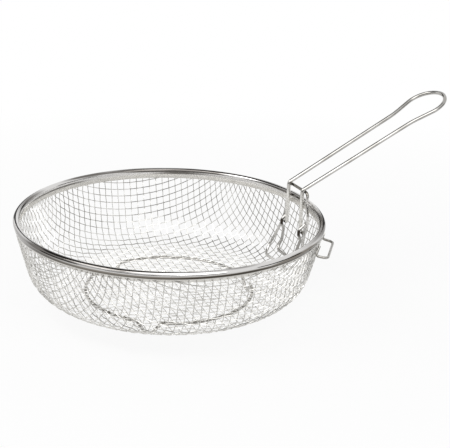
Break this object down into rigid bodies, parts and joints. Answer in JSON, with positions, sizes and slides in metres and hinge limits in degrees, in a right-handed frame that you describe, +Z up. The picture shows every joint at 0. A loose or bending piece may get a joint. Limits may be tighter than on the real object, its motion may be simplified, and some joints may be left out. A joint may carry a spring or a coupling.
{
  "type": "deep fryer basket",
  "caption": "Round woven wire fryer basket in a rolled steel rim, with a wire foot ring, a folding wire handle and a hook that rests on the pan's edge.",
  "frame": {"origin": "centre of the overall box's bottom face, on the surface the feet stand on", "axes": "+X along the handle, away from the bowl; +Z up"},
  "size_m": [0.3647, 0.24, 0.1504],
  "materials": {
    "rim_steel": "polished stainless steel, satin on the inner band",
    "woven_steel": "bright drawn stainless wire",
    "foot_ring_steel": "bright drawn stainless wire",
    "handle_steel": "polished stainless wire",
    "bracket_steel": "bright drawn stainless wire",
    "keeper_steel": "drawn stainless wire",
    "hook_steel": "bright drawn stainless wire"
  },
  "bodies": {
    "basket": {"rim": "rim_steel", "mesh_bowl": "woven_steel", "foot_ring": "foot_ring_steel", "handle_bracket": "bracket_steel", "pin_keeper": "keeper_steel", "pan_rest_hook": "hook_steel"},
    "handle": {"handle": "handle_steel"}
  },
  "joints": [
    {"name": "handle_fold", "type": "hinge", "parent": "basket", "child": "handle", "pos_m": [0.04706, 0, 0.0475], "axis": [0, -1, 0], "range_deg": [0, 145]}
  ]
}
